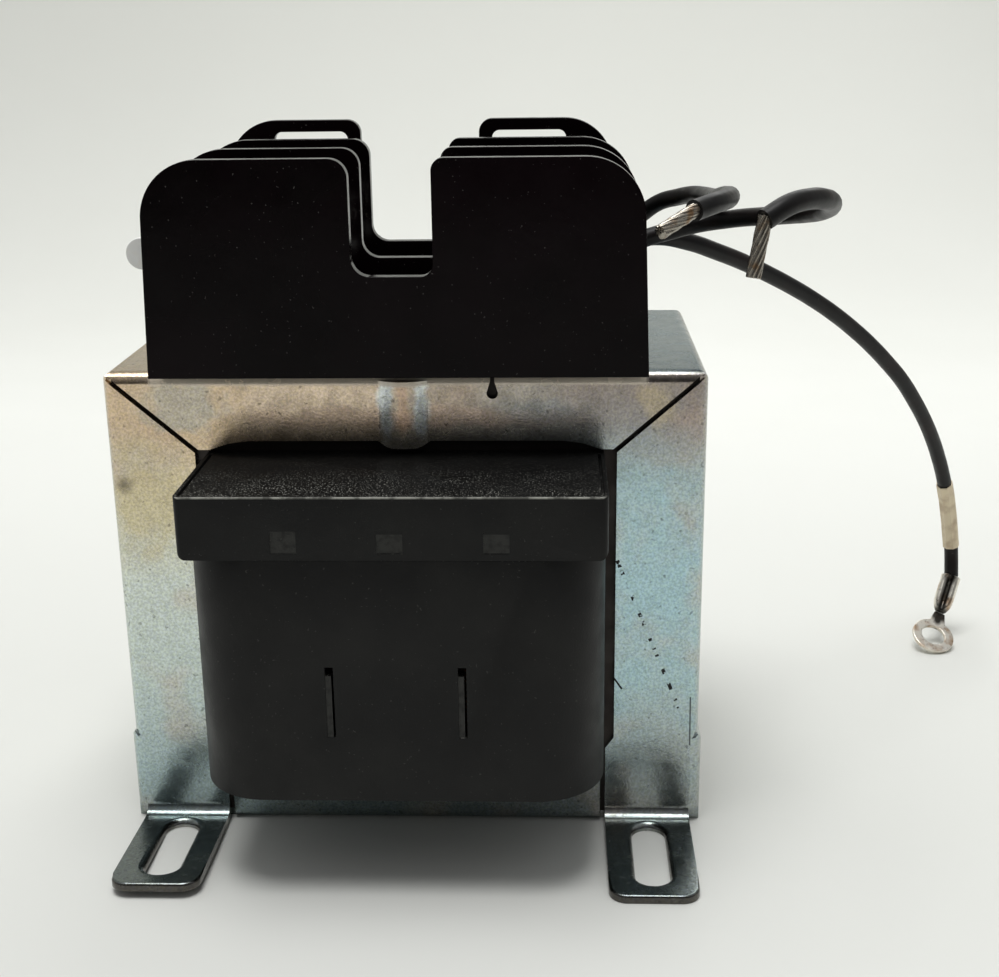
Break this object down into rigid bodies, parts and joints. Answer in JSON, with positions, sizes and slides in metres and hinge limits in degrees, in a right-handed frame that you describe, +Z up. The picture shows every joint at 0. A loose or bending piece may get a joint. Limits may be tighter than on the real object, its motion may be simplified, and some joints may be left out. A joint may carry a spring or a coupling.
{
  "type": "machine-tool control transformer",
  "caption": "Open-style control transformer: folded zinc-plated sheet frame with slotted feet round a laminated core, black moulded coil covers, fuse block with barrier walls and loose leads.",
  "frame": {"origin": "centre of the underside of the body and its feet, on the mounting surface", "axes": "+X along the fuse block towards the end that the leads leave, +Y from the front coil cover to the rear one, +Z up from the mounting surface"},
  "size_m": [0.1683, 0.1193, 0.1186],
  "materials": {
    "zinc_sheet": "zinc-plated, faintly iridescent, semi-gloss",
    "lamination": "varnished laminations",
    "former": "moulded nylon",
    "winding": "enamelled copper wire",
    "cover": "fine matte moulding, dusty on top",
    "block": "glossy moulded phenolic",
    "tinned_strip": "tin-plated copper alloy",
    "screw": "zinc-plated",
    "insulation": "satin wire insulation",
    "strand": "tinned stranded copper",
    "sleeve": "matte heat-shrink"
  },
  "bodies": {
    "root": {"frame_wrap": "zinc_sheet", "frame_floor": "zinc_sheet", "core_e_stack": "lamination", "core_i_stack": "lamination", "coil_former": "former", "coil_winding": "winding", "front_coil_cover": "cover", "rear_coil_cover": "cover", "front_terminal_cap": "cover", "rear_terminal_cap": "cover", "fuse_block": "block", "end_plate": "block", "clip_left_1": "tinned_strip", "clip_left_2": "tinned_strip", "clip_left_3": "tinned_strip", "clip_right_1": "tinned_strip", "clip_right_2": "tinned_strip", "clip_right_3": "tinned_strip", "terminal_screws_left": "screw", "terminal_screws_right": "screw", "pressure_plates_left": "screw", "pressure_plates_right": "screw", "block_screws": "screw", "end_lug": "tinned_strip", "conductor_stubs": "strand", "lead_1": "insulation", "lead_1_strands": "strand", "lead_2": "insulation", "lead_2_strands": "strand", "lead_3": "insulation", "marker_sleeve": "sleeve", "ring_terminal": "tinned_strip"}
  },
  "joints": []
}
